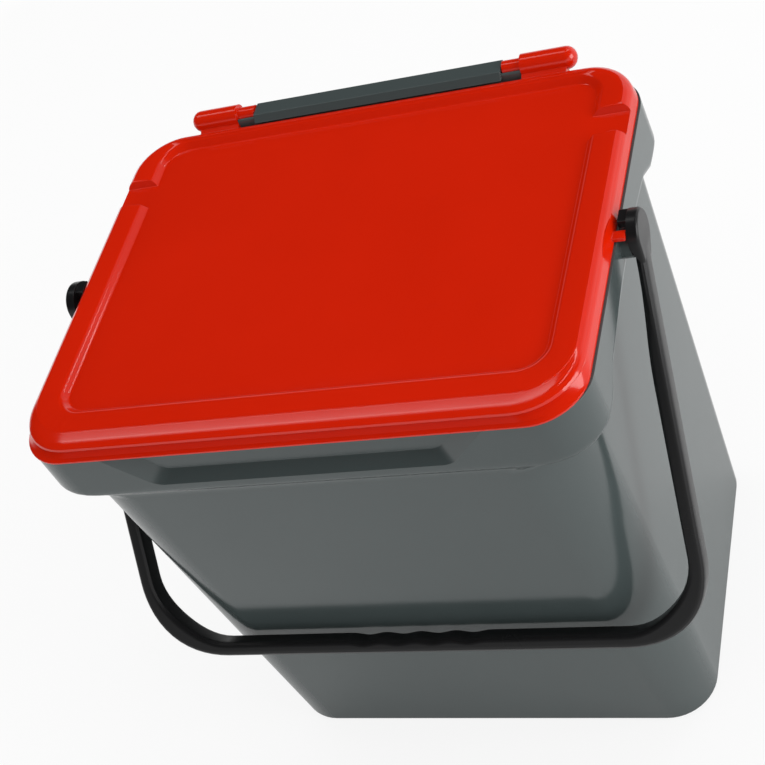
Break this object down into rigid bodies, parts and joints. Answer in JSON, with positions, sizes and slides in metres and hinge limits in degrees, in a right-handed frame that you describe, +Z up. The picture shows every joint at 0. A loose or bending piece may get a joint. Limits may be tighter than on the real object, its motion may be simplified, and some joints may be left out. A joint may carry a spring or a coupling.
{
  "type": "lidded waste bin",
  "caption": "Plastic waste bin with a stepped collar, a hinged lid and a bail handle that swings from the front wall over the lid.",
  "frame": {"origin": "on the base's underside, below the middle of the rim", "axes": "+Z up, -Y towards the front with the finger recess, +X along the hinge to the right-hand side of the bin seen from the front"},
  "size_m": [0.4394, 0.329, 0.4235],
  "materials": {
    "grey_plastic": "grey moulded plastic, satin to glossy",
    "red_plastic": "glossy red moulded plastic",
    "black_plastic": "satin black moulded plastic"
  },
  "bodies": {
    "bin_body": {"bin_body": "grey_plastic"},
    "lid": {"lid": "red_plastic"},
    "handle": {"handle": "black_plastic"}
  },
  "joints": [
    {"name": "lid_hinge", "type": "hinge", "parent": "bin_body", "child": "lid", "pos_m": [0, 0.164, 0.4153], "axis": [-1, 0, 0], "range_deg": [0, 110]},
    {"name": "handle_swing", "type": "hinge", "parent": "bin_body", "child": "handle", "pos_m": [0, 0.0008, 0.3887], "axis": [-1, 0, 0], "range_deg": [0, 262]}
  ]
}
